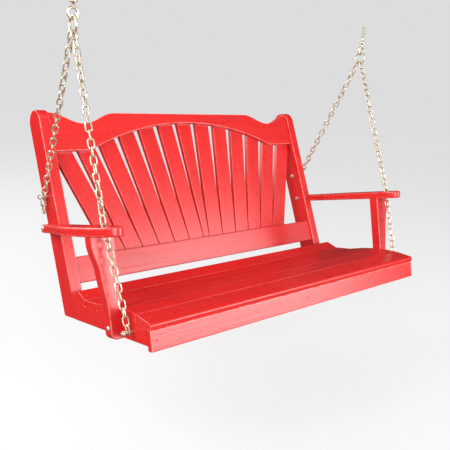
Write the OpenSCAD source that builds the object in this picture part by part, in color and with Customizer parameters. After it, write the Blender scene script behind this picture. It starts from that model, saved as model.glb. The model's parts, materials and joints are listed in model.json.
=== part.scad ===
// Four-foot porch swing seat, hung by four chains from two ceiling eyes.
// The timber is drawn on the bench: X to the right seen from the front, +Y to the
// rear, +Z up, zero at the front top edge of the seat. hung() then tips it back to
// the way it hangs, with zero in the ceiling plane midway between the two eyes.

/* [Seat] */
// Length of the seat slats, equal to the width over the side rails
seat_len = 1219; // [1000:1:1600]
// Width of the five main seat slats
seat_slat_w = 73; // [60:0.5:80]
// Width of the turned-up rear slat
rear_slat_w = 54.5; // [40:0.5:60]
// Thickness of the seat slats
seat_slat_t = 19; // [16:0.5:22]
// Gap between neighbouring seat slats
seat_slat_gap = 4; // [3.5:0.1:8]
// Radius of the slats' long edges
edge_r = 3; // [1:0.5:5]
// Radius of the front slat's nosing
nosing_r = 8; // [4:0.5:9]

/* [Frame] */
// Thickness of the rails, uprights and posts
lumber_t = 38; // [32:0.5:45]
// Depth of the uprights from front to rear
upright_d = 89; // [75:0.5:100]
// Thickness of the thin boards: apron, crest, lower rail and back slats
board_t = 19; // [16:0.5:22]
// Height of the side rail at its front end
rail_front_h = 50; // [44:0.5:60]
// Rise of the rails' underside from front to rear, in degrees
rail_rise = 2.07; // [0:0.01:4]
// Height of the rail's rear end above the seat's front edge
rail_rear_z = 42; // [38:0.5:50]
// Set-back of the apron's face behind the front edge of the seat
apron_set = 7; // [5:0.5:12]
// Height of the apron
apron_h = 59; // [50:0.5:70]

/* [Back] */
// Lean of the back, in degrees
back_lean = 10.8; // [5:0.1:15]
// Space from the rear slat to the uprights, at the level of the seat's front edge
back_gap = 37.5; // [34:0.5:50]
// Length of the uprights above the level of the seat's front edge
upright_l = 674.5; // [640:0.5:720]
// Set-back of the back rails behind the uprights' front edges
rail_set = 10; // [0:0.5:18]
// Height of the lower back rail's lower edge, along the back
lower_rail_s = 67.5; // [60:0.5:90]
// Width of the lower back rail
lower_rail_h = 89; // [70:0.5:100]
// Height of the crest rail's lower edge at its ends, along the back
crest_s = 521.5; // [500:0.5:540]
// Height of the crest rail at its level middle stretch
crest_h = 137; // [130:0.5:150]
// Depth of the scoop near each end of the crest rail
crest_dip = 39; // [10:0.5:50]
// Length of the scoop near each end of the crest rail
crest_dip_l = 252; // [200:1:300]
// Radius of the arch under the crest rail
arch_r = 1000; // [900:1:1200]
// Rise of the arch under the crest rail
arch_rise = 100; // [80:0.5:110]
// Width of the parallel back slats
back_slat_w = 66.5; // [60:0.5:68]
// Width of the centre slat at the lower back rail's top edge
centre_slat_low_w = 25; // [20:0.5:35]
// Width of the centre slat at its top
centre_slat_top_w = 68; // [55:0.5:75]
// Gap between back slats at the lower back rail's top edge
fan_gap = 2.6; // [2.6:0.1:5]
// Lean of the first slat beside the centre slat, in degrees
fan_first = 5.2; // [4.5:0.1:6]
// Added lean of each further slat, in degrees
fan_step = 2.95; // [2.5:0.05:3]
// Overlap of the back slats behind the lower back rail
fan_lap = 45; // [30:0.5:45]
// Distance of the back slats' tops below the crest rail's upper edge
fan_top_set = 14; // [8:0.5:18]

/* [Arms] */
// Height of the arms' upper face over the posts, above the seat's front edge
arm_z = 263.5; // [220:0.5:320]
// Thickness of the arms
arm_t = 27.5; // [25:0.5:38]
// Rise of the arms to the rear, in degrees
arm_pitch = 0.6; // [0:0.1:3]
// Width of the arm at its rear end
arm_rear_w = 38.5; // [34:0.5:45]
// Width of the arm at its widest place
arm_front_w = 73; // [62:0.5:80]
// Set-back of the arm's nose behind the front edge of the seat
arm_nose_y = 59.5; // [40:0.5:70]
// Distance of the nose's tip from the arm's inner edge
arm_nose_x = 27; // [20:0.5:34]
// Distance from the arm's nose to its widest place
arm_nose_l = 105; // [90:1:130]
// Length of the nose's inner curve
arm_in_l = 78; // [50:1:90]
// Distance behind the seat's front edge at which the arm begins to narrow
arm_taper_y = 310; // [250:1:350]
// Overhang of the arm behind the arm bolt
arm_rear_over = 17; // [15:0.5:24]
// Depth of the arm bolt below the arm's upper face
arm_bolt_z = 12; // [11:0.5:16]
// Diameter of the chain hole in the arm
arm_hole_d = 30; // [29:0.5:32]
// Distance of the chain hole from the arm's inner edge
arm_hole_x = 37; // [30:0.5:40]
// Distance of the chain hole behind the seat's front edge
arm_hole_y = 129; // [120:0.5:132]
// Set-back of the arm post behind the front edge of the seat
post_y = 148.5; // [148:0.5:170]
// Spread of the post's outer edge under the arm
post_flare = 33.5; // [10:0.5:36]
// Radius of the post's lower outer corner
post_corner_r = 18; // [5:0.5:30]
// Drop of the post's foot below the seat's front edge
post_drop = 58; // [50:0.5:70]

/* [Hardware] */
// Diameter of the bolts
bolt_d = 8; // [6:0.5:8]
// Width of the nuts across their flats
nut_af = 13; // [12:0.5:15]
// Thickness of the nuts
nut_t = 6.5; // [5:0.5:8]
// Outer diameter of the washers
washer_d = 17; // [15:0.5:22]
// Thickness of the washers
washer_t = 1.6; // [1:0.1:2.5]
// Shank diameter of the wood screws
screw_d = 4; // [3:0.5:5]
// Head diameter of the wood screws
screw_head_d = 8; // [6:0.5:9]
// Length of the wood screws
screw_l = 32; // [28:0.5:34]
// Length of the screws down through the arms
arm_screw_l = 64; // [50:1:75]
// Distance of the front chain bolts behind the seat's front edge
front_bolt_y = 96; // [85:0.5:110]
// Depth of the front chain bolts below the seat's front edge
front_bolt_z = 31; // [28:0.5:36]
// Depth of the post bolts below the seat's front edge
post_bolt_z = 26; // [22:0.5:32]
// Height of the rear chain bolts, along the back
rear_bolt_s = 375; // [340:1:410]
// Distance of the chains' lower ends from the outer faces of the frame
chain_off = 14.3; // [13:0.1:16]

/* [Chain and hangers] */
// Wire diameter of the chain
wire_d = 4.8; // [4:0.1:5]
// Inner width of a chain link
link_in_w = 12; // [11:0.1:13]
// Nominal pitch of the chain
chain_pitch = 23.6; // [22:0.1:26]
// Distance between the two hangers
hanger_span = 1278.5; // [1260:0.5:1290]
// Height of the rings' centres above the seat's front edge, on the bench
ring_z = 824.5; // [780:0.5:900]
// Distance of the rings' centres behind the seat's front edge, on the bench
ring_y = 207.5; // [200:0.5:215]
// Inner radius of the rings
ring_r = 19; // [18:0.5:24]
// Wire diameter of the rings
ring_wire_d = 7; // [6:0.5:8]
// Inner radius of the ceiling eyes
eye_r = 11; // [10.5:0.5:14]
// Wire diameter of the ceiling eyes
eye_wire_d = 8; // [7:0.5:9]
// Depth of the swing's axis below the ceiling
pivot_drop = 48; // [46:0.5:60]
// Shank diameter of the ceiling eyes
shank_d = 10; // [8:0.5:12]
// Length of the ceiling eyes' shanks above the ceiling plane
shank_l = 70; // [50:1:100]
// Backward tip of the seat as it hangs, in degrees
hang_tilt = 15.6; // [5:0.1:20]

/* [Hidden] */
$fn = 48;
red = "#d9231f";
zinc = "#b9b29c";
steel = "#6f6b66";

play = 0.25;          // running clearance between chain links, rings and eyes
fit = 0.2;            // radial clearance of bolts and screws in their holes
tail_play = 0.35;     // clearance of the tail link on each side at the bolt
cut = 1;              // how far a cutting shape stands past the wood
beyond = 1.5 * seat_len;               // farther than any board reaches

// Tilt of each seat slat, from the nosing to the turned-up rear slat
slat_tilts = [15, 6.5, 0.7, -4.8, 2.6, 27];
slat_n = len(slat_tilts);

rail_x = seat_len / 2 - lumber_t;      // inner faces of the side rails and uprights
side_x = seat_len / 2;                 // outer faces of the side rails and uprights
apron_back = apron_set + board_t;

function slat_w(i) = i == slat_n - 1 ? rear_slat_w : seat_slat_w;
function dir(a) = [cos(a), sin(a)];

// Front top edge of seat slat i in the side view, [y, z]
function slat_at(i) = i == 0 ? [0, 0]
    : slat_at(i - 1) + (slat_w(i - 1) + seat_slat_gap) * dir(slat_tilts[i - 1]);

// Front lower edge of seat slat i
function slat_under(i) = slat_at(i) + seat_slat_t * dir(slat_tilts[i] - 90);

// Where the undersides of slats i and i + 1 meet
function under_meet(i) =
    let (a = slat_under(i), b = slat_under(i + 1), u = dir(slat_tilts[i]),
         v = dir(slat_tilts[i + 1]), w = b - a,
         t = (w.x * v.y - w.y * v.x) / (u.x * v.y - u.y * v.x))
    a + t * u;

last_slat = slat_n - 1;
last_end = slat_under(last_slat) + rear_slat_w * dir(slat_tilts[last_slat]);
seat_end_y = slat_at(last_slat).x + rear_slat_w * cos(slat_tilts[last_slat]);
back_y = seat_end_y + back_gap;        // uprights' front edge at z = 0
rail_step_y = last_end.x + 2;          // step behind the rear slat

// Height of the first slat's underside above a place y
function nosing_under(y) = slat_under(0).y + (y - slat_under(0).x) * tan(slat_tilts[0]);

rail_base_z = nosing_under(apron_back) - rail_front_h;
function rail_under(y) = rail_base_z + (y - apron_back) * tan(rail_rise);

// Back plane: s runs up along the uprights' front edges, off runs to the rear
fan_off = rail_set + board_t;
crest_lap = 70;                        // most of a slat that is fastened to the crest
fan_s = lower_rail_s + lower_rail_h;   // lower back rail's top edge
crest_top = crest_s + crest_h;
crest_flat = rail_x - crest_dip_l;
function crest_top_at(x) = abs(x) <= crest_flat ? crest_top
    : crest_top - crest_dip / 2 + crest_dip / 2 * cos(360 * (abs(x) - crest_flat) / crest_dip_l);
arch_top = crest_s + arch_rise;
function crest_low_at(x) = max(crest_s, arch_top - arch_r + sqrt(max(0, arch_r * arch_r - x * x)));

function fan_angle(k) = fan_first + fan_step * (k - 1);
// Outer edge of the k-th slat beside the centre slat, at the lower rail's top edge
function fan_edge(k) = k == 0 ? centre_slat_low_w / 2
    : fan_edge(k - 1) + fan_gap + back_slat_w / cos(fan_angle(k));
// Middle of the k-th slat at height s
function fan_mid(k, s) = k == 0 ? 0
    : fan_edge(k) - back_slat_w / cos(fan_angle(k)) / 2 + (s - fan_s) * tan(fan_angle(k));
// Number of slats that fit between the centre slat and an upright
fan_n = len([for (k = [1 : 12]) if (fan_mid(k, crest_s) + back_slat_w / 4 < rail_x) k]);
// Height at which the k-th slat meets the upright with three quarters of its width left
function fan_reach(k) = k == 0 ? crest_top
    : fan_s + (rail_x - back_slat_w / 4 - fan_mid(k, fan_s)) / tan(fan_angle(k));
// A slat ends below the lowest place of the crest's edge over it, or at the upright
function fan_top(k) =
    let (half = back_slat_w / 2 + fan_gap, x = fan_mid(k, crest_top - crest_dip))
    min(min([for (d = [-half, 0, half]) crest_top_at(min(x + d, rail_x))]) - fan_top_set,
        fan_reach(k));
fan_low = fan_s - fan_lap;
fan_screw_low = fan_s - fan_lap / 2;
function fan_screw_top(k) =
    let (x = fan_mid(k, fan_top(k) - crest_lap / 2))
    (max(crest_low_at(x), fan_top(k) - crest_lap) + fan_top(k)) / 2;

slat_screw_x = [-(side_x - lumber_t / 2), 0, side_x - lumber_t / 2];
apron_screw_z = nosing_under(apron_set) - apron_h / 2;

// Bolts in the side view, [y, z]
function back_point(off, s) = [back_y + off * cos(back_lean) + s * sin(back_lean),
    -off * sin(back_lean) + s * cos(back_lean)];
// Point in the middle of the upright at height z
function upright_mid(z) = [back_y + upright_d / 2 / cos(back_lean) + z * tan(back_lean), z];
post_mid_y = post_y + lumber_t / 2;
chain_bolt_front = [front_bolt_y, -front_bolt_z];
chain_bolt_rear = back_point(upright_d / 2, rear_bolt_s);
arm_rise = (back_y + upright_d - post_mid_y) * tan(arm_pitch);
arm_bolt = upright_mid(arm_z + arm_rise - arm_bolt_z);
post_bolt = [post_mid_y, -post_bolt_z];
arm_end_y = arm_bolt.x + arm_rear_over;
dome_r = 8.5;
bolt_r = bolt_d / 2;
chain_x = side_x + chain_off;
link_half_w = link_in_w / 2 + wire_d;
washer_x = chain_x + link_half_w + 1.5;

// Arm and post
arm_under = arm_z - arm_t;
arm_hole = [side_x + arm_hole_x, arm_hole_y];
nose_x = side_x + arm_nose_x;
arm_out_x = side_x + arm_front_w;
arm_rear_x = side_x + arm_rear_w;
arm_flat_y = arm_bolt.x - dome_r - 3;  // the bolt's head sits on a flat place
function smooth(t) = let (c = min(1, max(0, t))) c * c * (3 - 2 * c);
// Outer edge of the post: a long ogee below and a short one under the arm
function post_out(z) = side_x + lumber_t
    + 0.48 * post_flare * smooth(z / arm_under / 0.7)
    + 0.52 * post_flare * smooth((z / arm_under - 0.57) / 0.36);

// Hangers
ring_mid_r = ring_r + ring_wire_d / 2;
eye_mid_r = eye_r + eye_wire_d / 2;
ring_drop = ring_r - eye_wire_d / 2 - play - 0.05;
hang_x = hanger_span / 2;
eye_flange_t = 4;

// Chain runs on the right side, on the bench
front_start = [chain_x, chain_bolt_front.x, chain_bolt_front.y];
front_bend = [arm_hole.x + 2, arm_hole.y, arm_z + 4.5];
rear_start = [chain_x, chain_bolt_rear.x, chain_bolt_rear.y];
ring_at = [hang_x, ring_y, ring_z];
front_l1 = norm(front_bend - front_start);
front_l = front_l1 + norm(ring_at - front_bend);
rear_l = norm(ring_at - rear_start);
ring_gap = 0.4;
tail_room = wire_d + 2 * tail_play;    // what the tail link takes up inside the rear link
front_n = round((front_l + bolt_r - ring_r) / chain_pitch) - 1;
rear_n = round((rear_l + bolt_r + tail_room - ring_r) / chain_pitch) - 1;
front_p = (front_l + bolt_r + ring_gap - ring_r) / (front_n + 1);
rear_p = (rear_l + bolt_r + tail_room + ring_gap - ring_r - play) / (rear_n + 1);

function unit(v) = v / norm(v);
function front_at(s) = s <= front_l1 ? front_start + s * unit(front_bend - front_start)
    : front_bend + (s - front_l1) * unit(ring_at - front_bend);
function rear_at(s) = rear_start + s * unit(ring_at - rear_start);

// The hung frame
function tip(p) = [p.x, p.y * cos(hang_tilt) + p.z * sin(hang_tilt),
    -p.y * sin(hang_tilt) + p.z * cos(hang_tilt)];
function hang_point(p) = tip(p - [0, ring_y, ring_z]) - [0, 0, pivot_drop + ring_drop];

tail_crown = bolt_r + tail_play + wire_d / 2;
tail_hinge = hang_point(rear_at(-tail_crown));
link_crown = rear_p / 2 + play / 2 + wire_d / 2;   // link centre to crown wire centre

function two(n) = n < 10 ? str("0", n) : str(n);
back_slats = [for (i = [1 : 2 * fan_n + 1]) str("back_slat_", two(i))];
seat_slats = [for (i = [1 : slat_n]) str("seat_slat_", i)];

// ---------- placing ----------
module hung()
    translate([0, 0, -(pivot_drop + ring_drop)])
        rotate([-hang_tilt, 0, 0])
            translate([0, -ring_y, -ring_z])
                children();

module side_view(x, l)
    translate([x, 0, 0])
        rotate([90, 0, 90])
            linear_extrude(l)
                children();

module front_view(y, l)
    translate([0, y + l, 0])
        rotate([90, 0, 0])
            linear_extrude(l)
                children();

module leaning()
    translate([0, back_y, 0])
        rotate([-back_lean, 0, 0])
            children();

// A profile in the back plane, off behind the uprights' front edges and t thick
module on_back(off, t)
    leaning()
        translate([0, off + t, 0])
            rotate([90, 0, 0])
                linear_extrude(t)
                    children();

module on_left() mirror([1, 0, 0]) children();

module both_sides() {
    children();
    on_left() children();
}

// ---------- shared shapes ----------
// Board section from the origin, w by t, with rounded long edges
module board(w, t, r) {
    translate([r, 0]) square([w - 2 * r, t]);
    translate([0, r]) square([w, t - 2 * r]);
    for (x = [r, w - r], y = [r, t - r])
        translate([x, y]) circle(r);
}

// Cylinder along X from x, at [y, z] in the side view
module rod(x, at, d, l)
    translate([x, at.x, at.y])
        rotate([0, 90, 0])
            cylinder(d = d, h = l);

// Hole for a bolt through something l thick that begins at x
module bolt_hole(x, at, l) rod(x - cut, at, bolt_d + 2 * fit, l + 2 * cut);

module hex_nut(x, at)
    difference() {
        translate([x, at.x, at.y])
            rotate([0, 90, 0])
                cylinder(r = nut_af / sqrt(3), h = nut_t, $fn = 6);
        bolt_hole(x, at, nut_t);
    }

module washer(x, at)
    difference() {
        rod(x, at, washer_d, washer_t);
        bolt_hole(x, at, washer_t);
    }

// Dome of a coach bolt's head: base radius r and height h, out along +X from x
module dome(x, at, r, h) {
    ball_r = (r * r + h * h) / (2 * h);
    translate([x, at.x, at.y])
        rotate([0, 90, 0])
            rotate_extrude()
                intersection() {
                    translate([0, h - ball_r]) circle(ball_r, $fn = 96);
                    square([r, h]);
                }
}

// Wood screw of length l pointing down -Z, the top of its head at z = 0
module screw(l = screw_l) {
    translate([0, 0, -screw_d / 2]) cylinder(d = screw_head_d, h = screw_d / 2);
    translate([0, 0, -l]) cylinder(d = screw_d, h = l - screw_d / 2);
}

module screw_hole(l = screw_l) {
    translate([0, 0, -screw_d / 2 - 0.05])
        cylinder(d = screw_head_d + 2 * fit, h = screw_d / 2 + cut);
    translate([0, 0, -l - 0.5])
        cylinder(d = screw_d + 2 * fit, h = l);
}

// Chain link lying along Z, its width along X, for a chain of pitch p
module link(p) {
    bend_r = (link_in_w + wire_d) / 2;
    // whole hundredths, so that the legs end exactly where the bends begin
    leg = round(50 * (p + play - link_in_w)) / 50;
    for (end = [0, 180])
        rotate([0, end, 0])
            translate([0, 0, leg / 2])
                rotate([90, 0, 0])
                    rotate_extrude(angle = 180)
                        translate([bend_r, 0]) circle(d = wire_d);
    for (x = [-bend_r, bend_r])
        translate([x, 0, -leg / 2]) cylinder(d = wire_d, h = leg);
}

// Link between the chain points a and b, its width turned to angle turn
module link_between(a, b, turn, p) {
    u = unit(b - a);
    heading = atan2(u.y, u.x);
    translate((a + b) / 2)
        rotate([0, acos(u.z), heading])
            rotate([0, 0, turn - heading])
                link(p);
}

// Half a turn of twist brings the top link square to the ring on an odd chain,
// a quarter turn on an even one
function twist(n) = (n % 2 == 1 ? 180 : 90) / n;

module front_chain() {
    first = (front_p + play) / 2 - bolt_r - play + 0.05;
    for (i = [0 : front_n])
        link_between(front_at(first + (i - 0.5) * front_p), front_at(first + (i + 0.5) * front_p),
            90 + i * (90 + twist(front_n)), front_p);
}

module rear_chain() {
    first = (rear_p + play) / 2 - bolt_r - tail_room;
    for (i = [0 : rear_n])
        link_between(rear_at(first + (i - 0.5) * rear_p), rear_at(first + (i + 0.5) * rear_p),
            90 + i * (90 + twist(rear_n)), rear_p);
}

// ---------- where fasteners go ----------
module seat_screw_places(slats)
    for (i = slats, x = slat_screw_x)
        translate([x, slat_at(i).x, slat_at(i).y])
            rotate([slat_tilts[i], 0, 0])
                translate([0, slat_w(i) / 2, 0])
                    children();

module back_screw_place(k, s)
    leaning()
        translate([fan_mid(k, s), fan_off + board_t, s])
            rotate([-90, 0, 0])
                children();

module back_screw_places()
    for (side = [0, 1], k = [side : fan_n])
        mirror([side, 0, 0]) {
            back_screw_place(k, fan_screw_low) children();
            back_screw_place(k, fan_screw_top(k)) children();
        }

module apron_screw_places()
    for (x = slat_screw_x)
        translate([x, apron_set, apron_screw_z])
            rotate([90, 0, 0])
                children();

// Turns a level arm to its rise, about its underside over the post
module pitched()
    translate([0, post_mid_y, arm_under])
        rotate([arm_pitch, 0, 0])
            translate([0, -post_mid_y, -arm_under])
                children();

module arm_screw_places()
    for (x = [side_x + lumber_t / 2, arm_out_x - lumber_t / 2])
        pitched()
            translate([x, post_mid_y, arm_z])
                children();

lap_mid = [back_y + upright_d / 2, (rail_under(back_y) + rail_rear_z) / 2];
module lap_screw_places()
    for (dz = [-upright_d / 4, upright_d / 4])
        translate([rail_x, lap_mid.x, lap_mid.y + dz])
            rotate([0, -90, 0])
                children();

// ---------- side frames ----------
module above_rail_under()
    polygon([[-beyond, rail_under(-beyond)], [beyond, rail_under(beyond)],
        [beyond, 2 * beyond], [-beyond, 2 * beyond]]);

module upright_outline()
    intersection() {
        translate([back_y, 0])
            rotate(-back_lean) {
                straight_l = upright_l - upright_d / 2;
                translate([0, -2 * upright_d]) square([upright_d, straight_l + 2 * upright_d]);
                translate([upright_d / 2, straight_l]) circle(d = upright_d, $fn = 96);
            }
        above_rail_under();
    }

module right_upright_wood()
    difference() {
        side_view(rail_x, lumber_t) upright_outline();
        // housing for the rail's tongue
        side_view(rail_x - cut, lumber_t / 2 + cut)
            translate([-beyond, rail_rear_z - beyond]) square([2 * beyond, beyond]);
        for (at = [chain_bolt_rear, arm_bolt])
            bolt_hole(rail_x, at, lumber_t);
        lap_screw_places() screw_hole();
    }

module seat_contour(end_y, end_z)
    polygon(concat(
        [[apron_back, rail_under(apron_back)], [apron_back, nosing_under(apron_back)]],
        [for (i = [0 : slat_n - 2]) under_meet(i)],
        [last_end],
        end_z > last_end.y ? [[rail_step_y, last_end.y], [rail_step_y, end_z]] : [],
        [[end_y, end_z], [end_y, rail_under(end_y)]]));

module right_side_rail_wood()
    difference() {
        union() {
            side_view(rail_x, lumber_t)
                difference() {
                    seat_contour(back_y + upright_d / 3, rail_rear_z);
                    upright_outline();
                }
            // tongue of the half-lap
            side_view(rail_x, lumber_t / 2)
                intersection() {
                    upright_outline();
                    translate([-beyond, rail_rear_z - beyond]) square([2 * beyond, beyond]);
                }
        }
        for (at = [chain_bolt_front, post_bolt])
            bolt_hole(rail_x, at, lumber_t);
        seat_screw_places([0 : last_slat]) screw_hole();
        apron_screw_places() screw_hole();
        lap_screw_places() screw_hole();
    }

module centre_rail_wood()
    difference() {
        side_view(-lumber_t / 2, lumber_t) seat_contour(last_end.x, last_end.y);
        seat_screw_places([0 : last_slat]) screw_hole();
        apron_screw_places() screw_hole();
    }

// ---------- seat ----------
module seat_slat(i)
    hung() color(red)
        difference() {
            translate([0, slat_at(i).x, slat_at(i).y])
                rotate([slat_tilts[i], 0, 0])
                    side_view(-side_x, seat_len)
                        translate([0, -seat_slat_t])
                            difference() {
                                board(slat_w(i), seat_slat_t, edge_r);
                                if (i == 0)
                                    translate([0, seat_slat_t - nosing_r])
                                        difference() {
                                            translate([-cut, 0]) square(nosing_r + cut);
                                            translate([nosing_r, 0]) circle(nosing_r);
                                        }
                            }
            seat_screw_places([i]) screw_hole();
        }

module front_apron()
    hung() color(red)
        difference() {
            side_view(-side_x, seat_len)
                intersection() {
                    translate([apron_set, nosing_under(apron_set) - apron_h])
                        board(board_t, apron_h + board_t, edge_r);
                    polygon([[-beyond, nosing_under(-beyond)], [beyond, nosing_under(beyond)],
                        [beyond, -beyond], [-beyond, -beyond]]);
                }
            apron_screw_places() screw_hole();
        }

// ---------- back ----------
module crest_outline() {
    steps = 28;
    top = [for (i = [0 : steps]) let (x = crest_flat + crest_dip_l * i / steps)
        [x, crest_top_at(x)]];
    difference() {
        polygon(concat([[-rail_x, crest_s], [rail_x, crest_s]],
            [for (i = [steps : -1 : 0]) top[i]],
            [for (p = top) [-p.x, p.y]]));
        translate([0, arch_top - arch_r]) circle(arch_r, $fn = 360);
    }
}

module crest_rail()
    hung() color(red)
        difference() {
            on_back(rail_set, board_t) crest_outline();
            back_screw_places() screw_hole();
        }

module lower_back_rail()
    hung() color(red)
        difference() {
            leaning()
                translate([-rail_x, rail_set, lower_rail_s])
                    side_view(0, 2 * rail_x)
                        board(board_t, lower_rail_h, edge_r);
            back_screw_places() screw_hole();
        }

// Outline of the k-th slat right of the centre; k = 0 is the tapered centre slat
module fan_outline(k) {
    top = fan_top(k);
    slope = tan(fan_angle(k));
    half = back_slat_w / cos(fan_angle(k)) / 2;
    taper = (centre_slat_top_w - centre_slat_low_w) / 2 / (fan_top(0) - fan_s);
    if (k == 0)
        polygon([for (c = [[-1, fan_low], [1, fan_low], [1, top], [-1, top]])
            [c.x * (centre_slat_low_w / 2 + taper * (c.y - fan_s)), c.y]]);
    else
        intersection() {
            polygon([for (c = [[-1, fan_low], [1, fan_low], [1, top], [-1, top]])
                [fan_mid(k, c.y) + c.x * half, c.y]]);
            translate([0, fan_low - 1]) square([rail_x - 0.5, crest_top]);
        }
}

module back_slat(k)
    hung() color(red)
        difference() {
            mirror([k < 0 ? 1 : 0, 0, 0])
                on_back(fan_off, board_t) fan_outline(abs(k));
            back_screw_places() screw_hole();
        }

// ---------- arms ----------
module arm_outline() {
    steps = 16;
    corner_r = dome_r - 0.5;
    out_y = arm_nose_y + arm_nose_l;
    in_y = arm_nose_y + arm_in_l;
    corner = [for (i = [6 : -1 : 0]) let (a = 15 * i)
        [arm_rear_x - corner_r + corner_r * cos(a), arm_end_y - corner_r + corner_r * sin(a)]];
    taper = [for (i = [0 : steps]) let (t = i / steps)
        [arm_rear_x + (arm_out_x - arm_rear_x) * smooth(t),
         arm_flat_y - (arm_flat_y - arm_taper_y) * t]];
    outer = [for (i = [0 : steps]) let (a = 90 * i / steps)
        [nose_x + (arm_out_x - nose_x) * cos(a), out_y - arm_nose_l * sin(a)]];
    inner = [for (i = [1 : steps]) let (a = 90 - 90 * i / steps)
        [nose_x - arm_nose_x * cos(a), in_y - arm_in_l * sin(a)]];
    polygon(concat([[side_x, arm_end_y]], corner, taper, outer, inner));
}

module right_armrest_wood()
    difference() {
        pitched()
            difference() {
                translate([0, 0, arm_under]) linear_extrude(arm_t) arm_outline();
                translate([arm_hole.x, arm_hole.y, arm_under - cut])
                    cylinder(d = arm_hole_d, h = arm_t + 2 * cut);
            }
        bolt_hole(side_x, arm_bolt, arm_rear_w);
        arm_screw_places() screw_hole(arm_screw_l);
    }

// The post seen from the front: a straight inner edge and a flaring outer one
module post_outline() {
    steps = 32;
    foot_x = side_x + lumber_t - post_corner_r;
    foot_z = post_corner_r - post_drop;
    corner = [for (i = [0 : 8]) let (a = 11.25 * i - 90)
        [foot_x + post_corner_r * cos(a), foot_z + post_corner_r * sin(a)]];
    top_z = arm_under + cut;
    ogee = [for (i = [0 : steps]) let (z = top_z * i / steps) [post_out(z), z]];
    polygon(concat([[side_x, top_z], [side_x, -post_drop]], corner, ogee));
}

module right_arm_post_wood()
    difference() {
        front_view(post_y, lumber_t) post_outline();
        pitched() translate([0, -beyond, arm_under]) cube([beyond, 2 * beyond, arm_t]);
        bolt_hole(side_x, post_bolt, lumber_t);
        arm_screw_places() screw_hole(arm_screw_l);
    }

// ---------- hangers ----------
module right_ring_steel()
    translate([hang_x, 0, -(pivot_drop + ring_drop)])
        rotate([0, 90, 0])
            rotate_extrude() translate([ring_mid_r, 0]) circle(d = ring_wire_d);

module right_eye_steel() {
    eye_z = eye_mid_r - pivot_drop;
    translate([hang_x, 0, 0]) {
        translate([0, 0, eye_z])
            rotate([90, 0, 0])
                rotate_extrude() translate([eye_mid_r, 0]) circle(d = eye_wire_d);
        translate([0, 0, eye_z + eye_mid_r])
            cylinder(d = eye_wire_d, h = -(eye_z + eye_mid_r));
        translate([0, 0, -eye_flange_t]) cylinder(d = 2.4 * shank_d, h = eye_flange_t);
        cylinder(d = shank_d, h = shank_l);
    }
}

// The first tail link hangs on the rear chain's lowest link, the second on the first
module tail_link_upper()
    translate(tail_hinge - [0, 0, link_crown])
        link(rear_p);

module tail_link_lower()
    translate(tail_hinge - [0, 0, link_crown + rear_p])
        rotate([0, 0, 90])
            link(rear_p);

// ---------- bolts ----------
head_t = 5.5;
bolt_end = 3;                          // thread standing out of a nut
washer_out_x = washer_x + washer_t;

module front_chain_bolt() {
    rod(rail_x - washer_t - head_t, chain_bolt_front, nut_af, head_t);
    rod(rail_x - washer_t, chain_bolt_front, bolt_d,
        washer_out_x + nut_t + bolt_end - rail_x + washer_t);
}

module rear_chain_bolt() {
    rod(washer_out_x, chain_bolt_rear, nut_af, head_t);
    rod(rail_x - washer_t - nut_t - bolt_end, chain_bolt_rear, bolt_d,
        washer_out_x - rail_x + washer_t + nut_t + bolt_end);
}

module coach_bolt(x, at) {
    dome(x, at, dome_r, dome_r / 2);
    rod(rail_x - washer_t - nut_t - bolt_end, at, bolt_d,
        x - rail_x + washer_t + nut_t + bolt_end);
}

// ---------- nodes ----------
module right_upright() hung() color(red) right_upright_wood();
module left_upright() hung() color(red) on_left() right_upright_wood();
module right_side_rail() hung() color(red) right_side_rail_wood();
module left_side_rail() hung() color(red) on_left() right_side_rail_wood();
module centre_rail() hung() color(red) centre_rail_wood();
module right_armrest() hung() color(red) right_armrest_wood();
module left_armrest() hung() color(red) on_left() right_armrest_wood();
module right_arm_post() hung() color(red) right_arm_post_wood();
module left_arm_post() hung() color(red) on_left() right_arm_post_wood();

module front_chain_right() hung() color(zinc) front_chain();
module front_chain_left() hung() color(zinc) on_left() front_chain();
module rear_chain_right() hung() color(zinc) rear_chain();
module rear_chain_left() hung() color(zinc) on_left() rear_chain();
module right_ring() color(zinc) right_ring_steel();
module left_ring() color(zinc) on_left() right_ring_steel();
module right_ceiling_eye() color(zinc) right_eye_steel();
module left_ceiling_eye() color(zinc) on_left() right_eye_steel();
module right_tail_link_1() color(zinc) tail_link_upper();
module left_tail_link_1() color(zinc) on_left() tail_link_upper();
module right_tail_link_2() color(zinc) tail_link_lower();
module left_tail_link_2() color(zinc) on_left() tail_link_lower();

module front_chain_bolts() hung() color(steel) both_sides() front_chain_bolt();
module rear_chain_bolts() hung() color(steel) both_sides() rear_chain_bolt();

module chain_bolt_washers()
    hung() color(steel)
        both_sides()
            for (at = [chain_bolt_front, chain_bolt_rear], x = [rail_x - washer_t, washer_x])
                washer(x, at);

module chain_bolt_nuts()
    hung() color(steel)
        both_sides() {
            hex_nut(washer_out_x, chain_bolt_front);
            hex_nut(rail_x - washer_t - nut_t, chain_bolt_rear);
        }

module arm_bolts() hung() color(steel) both_sides() coach_bolt(arm_rear_x, arm_bolt);

module post_bolts()
    hung() color(steel) both_sides() coach_bolt(side_x + lumber_t, post_bolt);

module frame_washers()
    hung() color(steel)
        both_sides()
            for (at = [arm_bolt, post_bolt]) washer(rail_x - washer_t, at);

module frame_nuts()
    hung() color(steel)
        both_sides()
            for (at = [arm_bolt, post_bolt]) hex_nut(rail_x - washer_t - nut_t, at);

module seat_screws() hung() color(red) seat_screw_places([0 : last_slat]) screw();
module back_screws() hung() color(red) back_screw_places() screw();
module apron_screws() hung() color(red) apron_screw_places() screw();
module arm_screws() hung() color(red) both_sides() arm_screw_places() screw(arm_screw_l);
module lap_screws() hung() color(red) both_sides() lap_screw_places() screw();

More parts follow.
